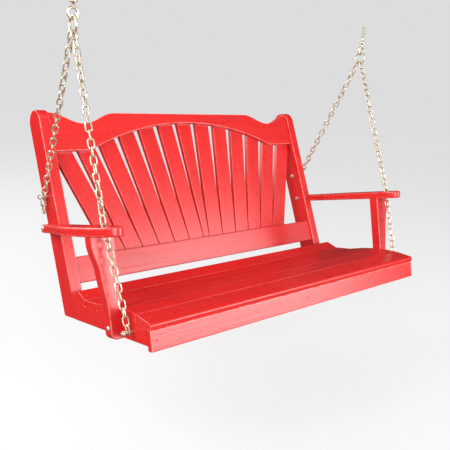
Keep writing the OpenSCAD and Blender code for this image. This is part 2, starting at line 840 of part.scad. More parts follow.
left_upright();
right_upright();
crest_rail();
lower_back_rail();
for (i = [0 : 2 * fan_n])
    back_slat(i - fan_n);
for (i = [0 : slat_n - 1])
    seat_slat(i);
front_apron();
left_side_rail();
right_side_rail();
centre_rail();
left_armrest();
right_armrest();
left_arm_post();
right_arm_post();
front_chain_left();
front_chain_right();
rear_chain_left();
rear_chain_right();
left_ring();
right_ring();
left_ceiling_eye();
right_ceiling_eye();
left_tail_link_1();
left_tail_link_2();
right_tail_link_1();
right_tail_link_2();
front_chain_bolts();
rear_chain_bolts();
chain_bolt_washers();
chain_bolt_nuts();
arm_bolts();
post_bolts();
frame_washers();
frame_nuts();
seat_screws();
back_screws();
apron_screws();
arm_screws();
lap_screws();
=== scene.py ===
"""Red porch swing seat on chains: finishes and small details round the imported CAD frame."""
import json
import math

import bmesh
import bpy
from mathutils import Matrix, Vector
from mathutils.bvhtree import BVHTree


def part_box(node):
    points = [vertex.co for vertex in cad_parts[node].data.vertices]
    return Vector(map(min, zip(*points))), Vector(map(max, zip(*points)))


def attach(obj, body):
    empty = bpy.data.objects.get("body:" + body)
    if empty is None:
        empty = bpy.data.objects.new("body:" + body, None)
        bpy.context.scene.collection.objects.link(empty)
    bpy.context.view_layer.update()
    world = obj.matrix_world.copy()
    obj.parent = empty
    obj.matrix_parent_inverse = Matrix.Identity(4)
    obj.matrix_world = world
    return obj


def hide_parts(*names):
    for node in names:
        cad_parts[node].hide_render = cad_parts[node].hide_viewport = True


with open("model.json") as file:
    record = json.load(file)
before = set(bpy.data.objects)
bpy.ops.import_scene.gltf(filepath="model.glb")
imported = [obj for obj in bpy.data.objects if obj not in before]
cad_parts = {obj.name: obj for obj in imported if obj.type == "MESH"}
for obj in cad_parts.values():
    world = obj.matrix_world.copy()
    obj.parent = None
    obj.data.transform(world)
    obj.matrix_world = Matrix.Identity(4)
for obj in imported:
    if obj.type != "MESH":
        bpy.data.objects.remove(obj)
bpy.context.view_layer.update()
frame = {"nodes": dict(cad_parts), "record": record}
nodes = frame["nodes"]

SIDES = ("left", "right")
X_AXIS = Vector((1, 0, 0))
Y_AXIS = Vector((0, 1, 0))
Z_AXIS = Vector((0, 0, 1))


def new_object(name, data):
    """Adds an object made of data to the scene."""
    made = bpy.data.objects.new(name, data)
    bpy.context.scene.collection.objects.link(made)
    return made


# ---------------------------------------------------------------- camera
# The camera stands left of the seat and in front of it, above the back's top edge.
CAMERA_AT = Vector((-1.3705, -1.5587, -0.1217))
CAMERA_HEADING = 40.94      # degrees to the right of +Y
CAMERA_PITCH = -16.02       # degrees above the horizon
CAMERA_ROLL = 5.23          # degrees, right side up
CAMERA_LENS = 45.64         # mm
CAMERA_SENSOR = 36          # mm
CAMERA_NEAR = 0.05


def make_camera():
    """The camera of the photograph's view."""
    data = bpy.data.cameras.new("camera")
    data.sensor_width = CAMERA_SENSOR
    data.lens = CAMERA_LENS
    data.clip_start = CAMERA_NEAR
    camera = new_object("camera", data)
    turn = (
        Matrix.Rotation(math.radians(-CAMERA_HEADING), 4, "Z")
        @ Matrix.Rotation(math.radians(90 + CAMERA_PITCH), 4, "X")
        @ Matrix.Rotation(math.radians(CAMERA_ROLL), 4, "Z")
    )
    camera.matrix_world = Matrix.Translation(CAMERA_AT) @ turn
    bpy.context.scene.camera = camera


make_camera()
bpy.context.scene.view_settings.view_transform = "Standard"

# ---------------------------------------------------------------- frames of the timber
# The seat hangs tipped back. On the bench X runs right, +Y to the rear and +Z up from
# the seat's front edge; LEANING is the bench turned into the plane of the back.
HANG_TILT = 15.6            # degrees
BACK_LEAN = 10.8            # degrees
BACK_Y = 0.4676             # where the plane of the back crosses the bench
RING_AT = Vector((0, 0.2075, 0.8245))       # on the bench, midway between the rings
RING_DROP = 0.0627          # from the ceiling down to the middle of the rings
FAN_FIRST = 5.2             # degrees, lean of the slats beside the middle one
FAN_STEP = 2.95             # degrees, from each slat to the next one out

BENCH = (
    Matrix.Translation((0, 0, -RING_DROP))
    @ Matrix.Rotation(math.radians(-HANG_TILT), 4, "X")
    @ Matrix.Translation(-RING_AT)
)
LEANING = (
    BENCH
    @ Matrix.Translation((0, BACK_Y, 0))
    @ Matrix.Rotation(math.radians(-BACK_LEAN), 4, "X")
)
ALONG_X = Matrix.Identity(4)
ALONG_Y = Matrix.Rotation(math.radians(90), 4, "Z")
ALONG_Z = Matrix.Rotation(math.radians(-90), 4, "Y")

BACK_SLATS = sorted(name for name in nodes if name.startswith("back_slat_"))
SEAT_SLATS = sorted(name for name in nodes if name.startswith("seat_slat_"))


def slat_lean(index):
    """Lean of a back slat from the middle one, in degrees, positive to the right."""
    steps = index - len(BACK_SLATS) // 2
    if steps == 0:
        return 0
    return math.copysign(FAN_FIRST + FAN_STEP * (abs(steps) - 1), steps)


# ---------------------------------------------------------------- shader nodes
class Tree:
    """A material's node tree with short ways to add and join nodes."""

    def __init__(self, name):
        self.material = bpy.data.materials.new(name)
        self.material.use_nodes = True
        self.tree = self.material.node_tree
        self.shader = self.tree.nodes["Principled BSDF"]

    def add(self, kind, **inputs):
        """A new node with these inputs, an underscore standing for a space."""
        made = self.tree.nodes.new("ShaderNode" + kind)
        for key, value in inputs.items():
            self.put(made.inputs[key.replace("_", " ")], value)
        return made

    def put(self, socket, value):
        """Gives the socket a link, a colour or a plain value."""
        if isinstance(value, bpy.types.NodeSocket):
            self.tree.links.new(value, socket)
        elif isinstance(value, tuple) and len(value) == 3 and socket.type == "RGBA":
            socket.default_value = (*value, 1)
        else:
            socket.default_value = value

    def set(self, **inputs):
        """Gives the material's shader these inputs."""
        for key, value in inputs.items():
            self.put(self.shader.inputs[key.replace("_", " ")], value)

    def place(self):
        """Object coordinates."""
        return self.add("TexCoord").outputs["Object"]

    def attribute(self, name, output="Fac"):
        """What the mesh stores under that name."""
        made = self.tree.nodes.new("ShaderNodeAttribute")
        made.attribute_name = name
        return made.outputs[output]

    def along_grain(self, stretch):
        """A board's own coordinates, X along its grain, stretched along each axis."""
        coords = self.attribute("grain", "Vector")
        return self.add("Mapping", Vector=coords, Scale=stretch).outputs["Vector"]

    def noise(self, place, scale, detail=4.0, roughness=0.55):
        """Cloudy noise from 0 to 1, the finer the larger its scale."""
        made = self.add(
            "TexNoise", Vector=place, Scale=scale, Detail=detail, Roughness=roughness
        )
        return made.outputs["Fac"]

    def spread(self, value, low, high, to_low=0.0, to_high=1.0):
        """Maps low..high to to_low..to_high and holds the value between those."""
        made = self.add(
            "MapRange", Value=value, From_Min=low, From_Max=high, To_Min=to_low, To_Max=to_high
        )
        return made.outputs["Result"]

    def maths(self, operation, a, b):
        """The result of a Math node's operation on a and b."""
        made = self.tree.nodes.new("ShaderNodeMath")
        made.operation = operation
        self.put(made.inputs[0], a)
        self.put(made.inputs[1], b)
        return made.outputs[0]

    def mix(self, amount, a, b):
        """Colour a, or b where amount is 1. Sockets 6, 7 and 2 are the node's colour ones."""
        made = self.tree.nodes.new("ShaderNodeMix")
        made.data_type = "RGBA"
        self.put(made.inputs[0], amount)
        self.put(made.inputs[6], a)
        self.put(made.inputs[7], b)
        return made.outputs[2]

    def bump(self, height, distance, strength, normal=None):
        """A surface normal with the relief of height, on top of that of normal."""
        made = self.add("Bump", Height=height, Distance=distance, Strength=strength)
        if normal is not None:
            self.put(made.inputs["Normal"], normal)
        return made.outputs["Normal"]


RED = (0.65, 0.014, 0.013)
RED_DEEP = (0.43, 0.008, 0.008)
RED_WEAR_AND_HIGHLIGHT = (0.95, 0.20, 0.17)
SCREW_WEAR_AND_HIGHLIGHT = (0.85, 0.30, 0.26)
ZINC = (0.86, 0.80, 0.65)
ZINC_DULL = (0.50, 0.42, 0.28)
ZINC_SPOT = (0.28, 0.19, 0.10)
STEEL = (0.82, 0.78, 0.68)
STEEL_DULL = (0.54, 0.47, 0.36)
STEEL_RUBBED = (0.92, 0.89, 0.82)
FINE = (1.0, 30.0, 30.0)        # stretch of the grain's lines
FINEST = (1.2, 170.0, 170.0)    # stretch of the brush strokes
BROAD = (1.0, 3.0, 3.0)         # stretch of the paint's patches


def red_paint():
    """Satin enamel brushed along the grain; the wood's grain telegraphs through. Its arrises are
    paler: worn paint and a painted highlight.
    """
    t = Tree("red_paint")
    grain = t.noise(t.along_grain(FINE), 3.0, 7.0, 0.62)
    strokes = t.noise(t.along_grain(FINEST), 2.4, 3.0, 0.5)
    patches = t.noise(t.along_grain(BROAD), 2.2, 3.0)
    mottle = t.noise(t.place(), 60.0)
    stipple = t.noise(t.place(), 900.0, 2.0)
    arris = t.attribute("arris")
    streak = t.spread(grain, 0.36, 0.66)
    brushed = t.spread(strokes, 0.35, 0.65)
    colour = t.mix(t.spread(patches, 0.35, 0.7, 0.0, 0.45), RED, RED_DEEP)
    colour = t.mix(t.maths("MULTIPLY", streak, 0.24), colour, RED_DEEP)
    # paler red along the arrises: paint wear, and a painted highlight where the rounded edges
    # catch the light
    edge_wear_and_highlight = t.maths("MULTIPLY", arris, t.spread(mottle, 0.35, 0.65, 0.15, 0.7))
    colour = t.mix(edge_wear_and_highlight, colour, RED_WEAR_AND_HIGHLIGHT)
    rough = t.spread(mottle, 0.3, 0.7, 0.25, 0.29)
    rough = t.maths("ADD", rough, t.maths("MULTIPLY", brushed, 0.06))
    lift = t.bump(grain, 0.0009, 0.7)
    lift = t.bump(strokes, 0.00015, 0.7, lift)
    lift = t.bump(stipple, 0.00003, 0.5, lift)
    t.set(Base_Color=colour, Roughness=rough, Normal=lift)
    t.set(Specular_IOR_Level=0.65, Coat_Weight=0.15, Coat_Roughness=0.2)
    return t.material


def zinc_plate():
    """Weathered zinc with a yellow tinge, duller and browner in patches."""
    t = Tree("zinc_chain")
    patches = t.noise(t.place(), 45.0, 5.0, 0.6)
    spots = t.noise(t.place(), 420.0, 3.0)
    colour = t.mix(t.spread(patches, 0.4, 0.62), ZINC, ZINC_DULL)
    colour = t.mix(t.spread(spots, 0.6, 0.74, 0.0, 0.6), colour, ZINC_SPOT)
    t.set(Base_Color=colour, Metallic=0.8)
    t.set(Roughness=t.spread(patches, 0.35, 0.65, 0.28, 0.48))
    t.set(Normal=t.bump(spots, 0.00012, 0.5))
    return t.material


def bolt_steel():
    """Dull zinc-plated steel, duller in patches, with rubbed edges."""
    t = Tree("bolt_steel")
    patches = t.noise(t.place(), 90.0, 5.0, 0.6)
    spots = t.noise(t.place(), 700.0, 3.0)
    colour = t.mix(t.spread(patches, 0.4, 0.62), STEEL, STEEL_DULL)
    colour = t.mix(t.maths("MULTIPLY", t.attribute("arris"), 0.6), colour, STEEL_RUBBED)
    t.set(Base_Color=colour, Metallic=0.9)
    t.set(Roughness=t.spread(patches, 0.35, 0.65, 0.32, 0.55))
    t.set(Normal=t.bump(spots, 0.0001, 0.5))
    return t.material


def painted_screw():
    """Screw heads under the same enamel, their rims paler: thinned paint and a painted highlight.
    """
    t = Tree("painted_screw")
    mottle = t.noise(t.place(), 380.0)
    colour = t.mix(t.spread(mottle, 0.4, 0.6), RED_DEEP, RED)
    # paler rims: thinned paint and a painted highlight
    edge_wear_and_highlight = t.maths("MULTIPLY", t.attribute("arris"), t.spread(mottle, 0.4, 0.6, 0.3, 0.9))
    colour = t.mix(edge_wear_and_highlight, colour, SCREW_WEAR_AND_HIGHLIGHT)
    t.set(Base_Color=colour, Roughness=t.spread(mottle, 0.3, 0.7, 0.30, 0.45))
    t.set(Normal=t.bump(mottle, 0.0001, 0.5))
    t.set(Coat_Weight=0.12, Coat_Roughness=0.18)
    return t.material


MATERIALS = {
    "red_paint": red_paint(),
    "zinc_chain": zinc_plate(),
    "bolt_steel": bolt_steel(),
    "painted_screw": painted_screw(),
}

# the CAD's own objects get the materials too
for entry in frame["record"]["subparts"]:
    cad = nodes[entry["node"]]
    cad.data.materials.clear()
    cad.data.materials.append(MATERIALS[entry["material_slot"]])

BODY_OF = {
    name: body
    for body, members in frame["record"]["behaviour"]["bodies"].items()
    for name in members
}
EVEN_WEIGHT = 80            # how far the largest faces lead in the even normals


def finish_piece(name, bm, slot, node):
    """Makes the piece `name` of a mesh drawn in the shared frame; it stands for `node`."""
    mesh = bpy.data.meshes.new(name)
    bm.to_mesh(mesh)
    bm.free()
    mesh.materials.append(MATERIALS[slot])
    piece = new_object(name, mesh)
    even = piece.modifiers.new("even", "WEIGHTED_NORMAL")
    even.keep_sharp = True
    even.weight = EVEN_WEIGHT
    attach(piece, BODY_OF[node])
    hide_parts(node)


# ---------------------------------------------------------------- timber
SHARP = math.radians(25)    # edges that turn more than this are sharp
SAME_PLACE = 1e-5           # corners this close are one
FLAT = math.radians(0.8)    # faces that turn less than this are joined up
SMALL_LOOP = 0.025          # screw and bolt holes keep their crisp rims
MIDDLE_LOOP = 0.045         # the chain hole is eased less than the board's outline
MIDDLE_RADIUS = 0.002
TOUCHING = 0.0004           # edges this close to the next board stay sharp
PROBE_STEP = 0.004          # spacing of the tests along an edge
PROBES = (0.15, 0.5, 0.85)  # places along an edge that tell whether all of it touches
STRAIGHT = 1e-4             # sine of the angle within which two edges are in line
END_GRAIN = 0.4             # an edge whose face turns this far to the grain is an end
END_WEAR_AND_HIGHLIGHT = 0.15             # paler edge colour of the ends, wear and painted highlight, as a share of the long edges'
EASE_STEPS = 3              # faces across an eased edge
GRAIN_STEPS = (1.7, 0.9, 0.31)      # from one board's place in the grain to the next's


def welded_mesh(name):
    """A copy of the CAD node's mesh with its loose corners joined."""
    bm = bmesh.new()
    bm.from_mesh(nodes[name].data)
    bmesh.ops.remove_doubles(bm, verts=bm.verts, dist=SAME_PLACE)
    return bm


def sharp_loops(bm, is_free):
    """Groups of joined convex sharp edges, each with its largest box side."""
    # a dict, not a set, so that the loops come in the same order each run
    sharp = dict.fromkeys(
        e for e in bm.edges
        if len(e.link_faces) == 2 and e.is_convex and e.calc_face_angle(0) > SHARP
    )
    loops = []
    while sharp:
        todo = [sharp.popitem()[0]]
        loop = []
        while todo:
            edge = todo.pop()
            loop.append(edge)
            for vert in edge.verts:
                for other in vert.link_edges:
                    if other in sharp:
                        del sharp[other]
                        todo.append(other)
        corners = [v.co for e in loop for v in e.verts]
        side = max(max(c[i] for c in corners) - min(c[i] for c in corners) for i in range(3))
        loops.append((side, [e for e in loop if is_free(e)]))
    return loops


def surface(name):
    """The CAD node's surface for distance tests, and its box."""
    data = nodes[name].data
    corners = [v.co for v in data.vertices]
    return BVHTree.FromPolygons(corners, [p.vertices for p in data.polygons]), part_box(name)


WOOD = [e["node"] for e in frame["record"]["subparts"] if e["material_slot"] == "red_paint"]
SURFACES = {name: surface(name) for name in WOOD}


def near(point, box):
    """Whether the point lies in the box or against it."""
    low, high = box
    return all(low[i] - TOUCHING <= point[i] <= high[i] + TOUCHING for i in range(3))


def touched(point, name):
    """Whether the point lies on another board."""
    return any(
        other != name and near(point, box) and tree.find_nearest(point, TOUCHING)[0] is not None
        for other, (tree, box) in SURFACES.items()
    )


def split_where_touched(bm, name):
    """Cuts the long edges where another board begins or ends."""
    for edge in list(bm.edges):
        length = edge.calc_length()
        count = int(length / PROBE_STEP)
        if count < 2 or not edge.is_convex:
            continue
        start, end = (v.co.copy() for v in edge.verts)
        states = [touched(start.lerp(end, (k + 0.5) / count), name) for k in range(count)]
        cuts = [k / count for k in range(1, count) if states[k] != states[k - 1]]
        tail, done = edge.verts[0], 0.0
        for at in cuts:
            edge, tail = bmesh.utils.edge_split(edge, tail, (at - done) / (1 - done))
            edge = next(e for e in tail.link_edges if e is not edge and aligned(e, start, end))
            done = at


def aligned(edge, start, end):
    """Whether the edge runs along the line from start to end."""
    way = (end - start).normalized()
    return (edge.verts[1].co - edge.verts[0].co).normalized().cross(way).length < STRAIGHT


def touches_others(edge, name):
    """Whether the edge lies on another board all along."""
    start, end = (v.co for v in edge.verts)
    return all(touched(start.lerp(end, t), name) for t in PROBES)


def eased(name, grain, radius, wear_and_highlight):
    """A board from the CAD node: outline edges rounded, grain coordinates stored.

    The last argument, from 0 to 2, is how much paler the paint is on those edges: wear and a
    painted highlight. The apron is eased all round before it goes on, so a fine line shows under
    the slat.
    """
    bm = welded_mesh(name)
    bmesh.ops.dissolve_limit(
        bm, angle_limit=FLAT, verts=bm.verts, edges=bm.edges, use_dissolve_boundaries=False
    )
    all_round = name == "front_apron"
    if not all_round:
        split_where_touched(bm, name)
    arris = bm.faces.layers.float.new("arris")
    fibre = grain.col[0].to_3d().normalized()

    def is_free(edge):
        return all_round or not touches_others(edge, name)

    for low, high, r in (
        (SMALL_LOOP, MIDDLE_LOOP, min(radius, MIDDLE_RADIUS)),
        (MIDDLE_LOOP, math.inf, radius),
    ):
        edges = [e for side, loop in sharp_loops(bm, is_free) if low < side <= high for e in loop]
        if edges:
            made = bmesh.ops.bevel(
                bm, geom=edges, offset=r, segments=EASE_STEPS, profile=0.5,
                affect="EDGES", clamp_overlap=False,
            )
            # the rounded faces get a paler red: paint wear and a painted highlight, less on the
            # ends
            for face in made["faces"]:
                is_end = abs(face.normal.dot(fibre)) > END_GRAIN
                face[arris] = wear_and_highlight * (END_WEAR_AND_HIGHLIGHT if is_end else 1.0)
    for edge in bm.edges:
        edge.smooth = edge.calc_face_angle(0) < SHARP
    for face in bm.faces:
        face.smooth = True
    along = bm.verts.layers.float_vector.new("grain")
    into = grain.inverted()
    for vert in bm.verts:
        vert[along] = into @ vert.co
    return bm


BOARDS = []                 # (node, frame with X along the grain, edge radius, paler edges from wear and painted highlight)
for name in SEAT_SLATS:
    BOARDS.append((name, BENCH @ ALONG_X, 0.0018, 1.6))
BOARDS.append(("front_apron", BENCH @ ALONG_X, 0.0036, 1.6))
BOARDS.append(("lower_back_rail", LEANING @ ALONG_X, 0.0018, 0.5))
BOARDS.append(("crest_rail", LEANING @ ALONG_X, 0.0026, 1.6))
for index, name in enumerate(BACK_SLATS):
    lean = Matrix.Rotation(math.radians(slat_lean(index)), 4, "Y")
    BOARDS.append((name, LEANING @ lean @ ALONG_Z, 0.0022, 0.6))
for side in SIDES:
    BOARDS.append((side + "_upright", LEANING @ ALONG_Z, 0.003, 1.0))
    BOARDS.append((side + "_side_rail", BENCH @ ALONG_Y, 0.0025, 0.1))
    BOARDS.append((side + "_armrest", BENCH @ ALONG_Y, 0.006, 0.6))
    BOARDS.append((side + "_arm_post", BENCH @ ALONG_Z, 0.003, 1.0))
BOARDS.append(("centre_rail", BENCH @ ALONG_Y, 0.002, 0.0))

for index, (name, grain, radius, wear_and_highlight) in enumerate(BOARDS):
    # each board is cut from another place of the grain
    grain = grain @ Matrix.Translation([step * index for step in GRAIN_STEPS])
    finish_piece(name + ".wood", eased(name, grain, radius, wear_and_highlight), "red_paint", name)


# ---------------------------------------------------------------- metal shapes
ROUND_STEPS = 40            # steps round a turned surface
HEX_STEPS = 48
SHANK_STEPS = 28
SCREW_STEPS = 16
DOME_STEPS = 12             # from the rim of a coach bolt's head to its top
FACE_SHARE = 0.94           # width of a hexagon's end face, as a share of the hexagon's
DISH_SHARE = 0.9            # width of the dish in a head, as a share of the end face's
DISH = 0.0003               # its depth
CORNER_FALL = 0.6           # slope of the chamfer on a hexagon's corners
RIM_EASE = 0.0004           # height of the chamfer under a hexagon's rim
BORE_EASE = 0.0006          # chamfer of a nut's bore
RIDGE_FALL = 1.25           # steepness of a thread's sides; it leaves a flat root
BOLT_R = 0.004
BOLT_PITCH = 0.00125
BOLT_THREAD = 0.0007        # depth of the thread
BOLT_POINT = 0.0006         # length of the chamfer on a bolt's end
BOLT_POINT_IN = 0.0009      # and how far it comes in


def islands(name):
    """The separate solids of a CAD node, each as a list of points in the shared frame."""
    bm = welded_mesh(name)
    found = []
    seen = set()
    for start in bm.verts:
        if start in seen:
            continue
        seen.add(start)
        todo, points = [start], []
        while todo:
            vert = todo.pop()
            points.append(vert.co.copy())
            for edge in vert.link_edges:
                other = edge.other_vert(vert)
                if other not in seen:
                    seen.add(other)
                    todo.append(other)
        found.append(points)
    bm.free()
    return found


def middle(points):
    """The mean of the points."""
    return sum(points, Vector()) / len(points)


def span(points, axis):
    """The lowest and highest place of the points along the axis."""
    along = [p.dot(axis) for p in points]
    return min(along), max(along)


def frame_at(origin, z_axis, x_hint):
    """A frame at origin with +Z along z_axis and +X as near x_hint as it goes."""
    z = z_axis.normalized()
    x = (x_hint - x_hint.dot(z) * z).normalized()
    y = z.cross(x)
    return Matrix.Translation(origin) @ Matrix((x, y, z)).transposed().to_4x4()


def turned(bm, place, rows, steps=ROUND_STEPS, wear_and_highlight=()):
    """A closed surface round +Z of the frame place.

    A row is (radius, height), or a function that gives both for a turn in radians. A flat
    face closes an end that doesn't come to a point. The last argument holds the rows that start a
    paler band: thinned plating on bolts, washers and nuts; thinned paint and a painted highlight
    on screw rims.
    """
    arris = bm.faces.layers.float.get("arris") or bm.faces.layers.float.new("arris")
    grid = []
    for row in rows:
        ring = []
        for i in range(steps):
            turn = 2 * math.pi * i / steps
            r, z = row(turn) if callable(row) else row
            ring.append(bm.verts.new(place @ Vector((r * math.cos(turn), r * math.sin(turn), z))))
        grid.append(ring)
    for k, (low, high) in enumerate(zip(grid, grid[1:])):
        for i in range(steps):
            j = (i + 1) % steps
            face = bm.faces.new((low[i], low[j], high[j], high[i]))
            face.smooth = True
            face[arris] = 1.0 if k in wear_and_highlight else 0.0
    for ring, flip in ((grid[0], True), (grid[-1], False)):
        if (ring[0].co - ring[steps // 2].co).length > SAME_PLACE:
            bm.faces.new(ring[::-1] if flip else ring)


def hexagon(turn, flat):
    """Radius of a hexagon with that distance from its middle to a flat."""
    sixth = math.pi / 3
    return flat / math.cos((turn + sixth / 2) % sixth - sixth / 2)


def chamfered(flat, z, side):
    """Row of a hexagon's rim at height z, turned down at its corners. side is 1 or -1."""
    def row(turn):
        r = hexagon(turn, flat)
        return r, z - side * (r - flat) * CORNER_FALL
    return row


def screw_thread(core, crest, pitch, z0, z1, per_pitch=6, taper=0.0):
    """Rows of a helical thread from z0 to z1; it runs out over the taper at its end."""
    count = max(4, round((z1 - z0) / pitch * per_pitch))
    rows = []
    for k in range(count + 1):
        z = z0 + (z1 - z0) * k / count
        cut = min(1.0, (z1 - z) / taper) if taper else 1.0

        def row(turn, z=z, cut=cut):
            phase = (z / pitch - turn / (2 * math.pi)) % 1
            ridge = max(0.0, 1 - abs(2 * phase - 1) * RIDGE_FALL)
            return (core + (crest - core) * ridge) * cut, z
        rows.append(row)
    return rows


def hex_head(bm, place, flat, height):
    """Bolt head, its seat at 0 and its dished face up."""
    edge = flat * FACE_SHARE
    turned(bm, place, [
        (0.0, 0.0), (edge, 0.0), chamfered(flat, RIM_EASE, -1),
        chamfered(flat, height, 1), (edge, height), (edge * DISH_SHARE, height - DISH),
        (0.0, height - DISH),
    ], steps=HEX_STEPS, wear_and_highlight=(1, 3, 4))


def hex_nut(bm, place, flat, height, bore):
    """Nut standing on 0, its bore's rims eased."""
    edge = flat * FACE_SHARE
    mouth = bore + BORE_EASE
    turned(bm, place, [
        (bore, BORE_EASE), (mouth, 0.0), (edge, 0.0), chamfered(flat, RIM_EASE, -1),
        chamfered(flat, height - RIM_EASE, 1), (edge, height), (mouth, height),
        (bore, height - BORE_EASE),
    ], steps=HEX_STEPS, wear_and_highlight=(2, 4))


def round_head(bm, place, radius, height):
    """Coach bolt head: a low dome on a flat seat."""
    ball = (radius * radius + height * height) / (2 * height)
    rim = math.asin(radius / ball)
    rows = [(0.0, 0.0), (radius, 0.0)]
    for k in range(1, DOME_STEPS + 1):
        a = rim * (1 - k / DOME_STEPS)
        rows.append((ball * math.sin(a), height - ball + ball * math.cos(a)))
    turned(bm, place, rows, wear_and_highlight=(1, 2))


def bolt_shank(bm, place, start, plain_end, end):
    """Plain shank from start, then thread to a chamfered end."""
    rows = [(0.0, start), (BOLT_R, start), (BOLT_R, plain_end)]
    rows += screw_thread(BOLT_R - BOLT_THREAD, BOLT_R, BOLT_PITCH, plain_end, end - BOLT_POINT)
    rows += [(BOLT_R - BOLT_POINT_IN, end), (0.0, end)]
    turned(bm, place, rows, steps=SHANK_STEPS)


# ---------------------------------------------------------------- bolts
TO_BENCH = BENCH.inverted()
ACROSS = BENCH.to_3x3() @ X_AXIS
UPWARD = BENCH.to_3x3() @ Z_AXIS
HEAD_R = 0.0065             # from the middle of a head or nut to its flats
HEAD_L = 0.0055
DOME_L = 0.00425
THREAD_L = 0.02
HEAD_START = 0.5            # share of a head's length at which the shank starts inside it
DOME_START = 0.6
WASHER_PLAY = 0.0002        # from a bolt to its washer's bore
WASHER_EASE = 0.0003
# degrees from one head or nut to the next, so that no two stand alike
HEX_TURN = 23
HEX_FIRST_TURN = 11
DOME_TURN = 31
NUT_TURN = 17


def bolt_box(points):
    """Both ends of an island along the bench's X, its axis's y and z, and its radius."""
    local = [TO_BENCH @ p for p in points]
    low, high = span(local, X_AXIS)
    ys = [p.y for p in local]
    zs = [p.z for p in local]
    y, z = (min(ys) + max(ys)) / 2, (min(zs) + max(zs)) / 2
    return low, high, y, z, max((p - Vector((p.x, y, z))).length for p in local)


def bolt_frame(x, y, z, direction, tilt):
    """Frame on the bench at that point, +Z along X times direction, turned by tilt."""
    spun = Matrix.Rotation(math.radians(tilt), 4, "Z")
    return frame_at(BENCH @ Vector((x, y, z)), ACROSS * direction, UPWARD) @ spun


def head_frame(place, height):
    """A head's frame, from its seat to its top; place starts at the top and faces the seat."""
    return place @ Matrix.Translation((0, 0, height)) @ Matrix.Rotation(math.pi, 4, "X")


def hex_bolts(node, head_inside):
    """Bolts across the seat, their heads on its inner or outer side."""
    bm = bmesh.new()
    for index, points in enumerate(islands(node)):
        low, high, y, z, _ = bolt_box(points)
        outward = 1 if low + high > 0 else -1
        inner, outer = (low, high) if outward > 0 else (high, low)
        start, facing = (inner, outward) if head_inside else (outer, -outward)
        place = bolt_frame(start, y, z, facing, HEX_FIRST_TURN + HEX_TURN * index)
        length = high - low
        hex_head(bm, head_frame(place, HEAD_L), HEAD_R, HEAD_L)
        bolt_shank(bm, place, HEAD_L * HEAD_START, length - THREAD_L, length)
    finish_piece(node + ".turned", bm, "bolt_steel", node)


def coach_bolts(node):
    """Bolts with domed heads on the seat's outer side."""
    bm = bmesh.new()
    for index, points in enumerate(islands(node)):
        low, high, y, z, radius = bolt_box(points)
        outward = 1 if low + high > 0 else -1
        outer = high if outward > 0 else low
        length = high - low
        place = bolt_frame(outer, y, z, -outward, DOME_TURN * index)
        round_head(bm, head_frame(place, DOME_L), radius, DOME_L)
        bolt_shank(bm, place, DOME_L * DOME_START, length - THREAD_L, length)
    finish_piece(node + ".turned", bm, "bolt_steel", node)


def washers(node):
    """Plain washers, their rims eased."""
    bm = bmesh.new()
    bore = BOLT_R + WASHER_PLAY
    mouth = bore + WASHER_PLAY
    ease = WASHER_EASE
    for points in islands(node):
        low, high, y, z, radius = bolt_box(points)
        t = high - low
        turned(bm, bolt_frame(low, y, z, 1, 0), [
            (bore, ease), (mouth, 0.0), (radius - ease, 0.0), (radius, ease),
            (radius, t - ease), (radius - ease, t), (mouth, t), (bore, t - ease),
        ], steps=HEX_STEPS, wear_and_highlight=(2, 4))
    finish_piece(node + ".turned", bm, "bolt_steel", node)


def nuts(node):
    """Hexagon nuts, each turned by another angle."""
    bm = bmesh.new()
    for index, points in enumerate(islands(node)):
        low, high, y, z, _ = bolt_box(points)
        place = bolt_frame(low, y, z, 1, NUT_TURN * index)
        hex_nut(bm, place, HEAD_R, high - low, BOLT_R)
    finish_piece(node + ".turned", bm, "bolt_steel", node)


hex_bolts("front_chain_bolts", head_inside=True)
hex_bolts("rear_chain_bolts", head_inside=False)
coach_bolts("arm_bolts")
coach_bolts("post_bolts")
washers("chain_bolt_washers")
washers("frame_washers")
nuts("chain_bolt_nuts")
nuts("frame_nuts")


# ---------------------------------------------------------------- wood screws
CROSS_ARM = 0.00055         # half the width of the recess's arms
CROSS_REACH = 0.0019        # from the middle to the end of an arm
CROSS_SIDE = 0.0002         # width of the slope beside an arm
CROSS_END = 0.0006          # length of the slope at its end
CROSS_DEPTH = 0.0009        # shallow, because paint fills a part of it
HEAD_RINGS = 12
HEAD_SPIN = 0.7             # radians from one screw's recess to the next's
HEAD_FLAT = 0.93            # share of a screw head's radius
TOP_RIM = 0.98
TOP_EASE = 0.0001
LOW_EASE = 0.0004
CONE_R = 0.6                # the countersunk cone's end, as a share of the head's radius
CONE_L = 0.0018
MIDDLE_R = 1e-6             # innermost ring of a head, all but a point
SHANK_START = 0.0017        # inside the head
SHANK_SHARE = 0.5           # of the head's radius, like the two below
NECK_SHARE = 0.48
CORE_SHARE = 0.32
PLAIN_SHARE = 0.35          # of the screw's length
SCREW_PITCH = 0.0018
SCREW_RIDGE_STEPS = 4
SCREW_TAPER = 0.006
SCREW_ROUNDS = 3            # of finding a screw's axis, each better than the last
RIM_BAND = 0.0005           # points this near an end belong to its rim
STEEP = 0.7                 # axes that rise more than this take X for their hint


def held(value):
    """The value, held between 0 and 1."""
    return max(0.0, min(1.0, value))


def cross_recess(turn, r):
    """Depth of a cross recess at that place of a screw head, from 0 to 1."""
    x, y = abs(r * math.cos(turn)), abs(r * math.sin(turn))
    across, along = min(x, y), max(x, y)
    return held((CROSS_ARM - across) / CROSS_SIDE + 0.5) * held((CROSS_REACH - along) / CROSS_END)


